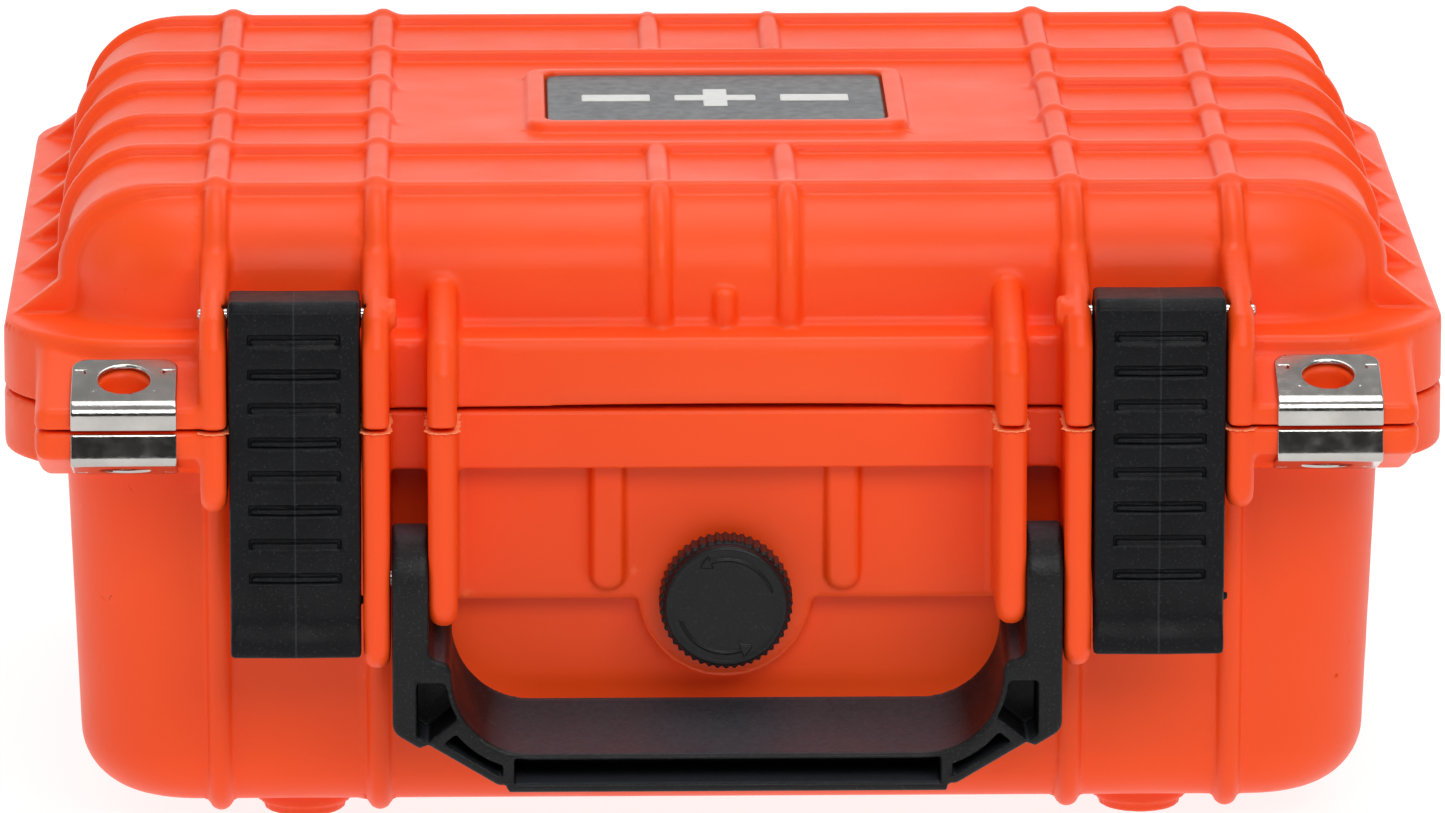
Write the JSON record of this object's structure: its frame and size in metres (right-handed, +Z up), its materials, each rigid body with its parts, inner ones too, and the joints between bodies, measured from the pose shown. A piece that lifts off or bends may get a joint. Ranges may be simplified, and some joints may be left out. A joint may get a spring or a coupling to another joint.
{
  "type": "first aid kit",
  "caption": "Hard waterproof first aid kit case with a ribbed hinged lid, draw latches, a front carry handle, a pressure valve and steel padlock plates.",
  "frame": {"origin": "middle of the case on the surface that its feet stand on", "axes": "+X to the right seen from the latches, +Y from the latches to the hinges, +Z up"},
  "size_m": [0.27, 0.246, 0.124],
  "materials": {
    "orange_shell": "moulded, satin, fine grain",
    "black_plastic": "moulded, satin",
    "bright_steel": "bright nickel plate",
    "black_rubber": "matt",
    "label_plastic": null,
    "grey_foam": "open-cell foam with an egg-crate face"
  },
  "bodies": {
    "base": {"base_shell": "orange_shell", "base_lock_plate_left": "bright_steel", "base_lock_plate_right": "bright_steel", "handle_pin_left": "bright_steel", "handle_pin_right": "bright_steel", "hinge_pin_left": "bright_steel", "hinge_pin_right": "bright_steel", "valve_body": "black_plastic", "valve_nut": "black_plastic", "valve_seal_ring": "black_rubber"},
    "lid": {"lid_shell": "orange_shell", "lid_gasket": "black_rubber", "lid_foam": "grey_foam", "lid_label": "label_plastic", "lid_lock_plate_left": "bright_steel", "lid_lock_plate_right": "bright_steel", "latch_pin_left": "bright_steel", "latch_pin_right": "bright_steel"},
    "latch_left": {"latch_lever_left": "black_plastic", "claw_pin_left": "bright_steel"},
    "claw_left": {"latch_claw_left": "black_plastic"},
    "latch_right": {"latch_lever_right": "black_plastic", "claw_pin_right": "bright_steel"},
    "claw_right": {"latch_claw_right": "black_plastic"},
    "handle": {"handle": "black_plastic"},
    "valve_knob": {"valve_knob": "black_plastic"}
  },
  "joints": [
    {"name": "lid_hinge", "type": "hinge", "parent": "base", "child": "lid", "pos_m": [0, 0.116, 0.086], "axis": [-1, 0, 0], "range_deg": [0, 105]},
    {"name": "latch_left_lever", "type": "hinge", "parent": "lid", "child": "latch_left", "pos_m": [-0.08, -0.1145, 0.1065], "axis": [-1, 0, 0], "range_deg": [0, 150]},
    {"name": "latch_left_claw", "type": "hinge", "parent": "latch_left", "child": "claw_left", "pos_m": [-0.08, -0.1113, 0.091], "axis": [1, 0, 0], "range_deg": [0, 14]},
    {"name": "latch_right_lever", "type": "hinge", "parent": "lid", "child": "latch_right", "pos_m": [0.08, -0.1145, 0.1065], "axis": [-1, 0, 0], "range_deg": [0, 150]},
    {"name": "latch_right_claw", "type": "hinge", "parent": "latch_right", "child": "claw_right", "pos_m": [0.08, -0.1113, 0.091], "axis": [1, 0, 0], "range_deg": [0, 14]},
    {"name": "handle_swing", "type": "hinge", "parent": "base", "child": "handle", "pos_m": [0, -0.113, 0.056], "axis": [-1, 0, 0], "range_deg": [0, 90]},
    {"name": "valve_knob_turn", "type": "hinge", "parent": "base", "child": "valve_knob", "pos_m": [0, -0.105, 0.0493], "axis": [0, -1, 0], "range_deg": [0, 180]}
  ]
}
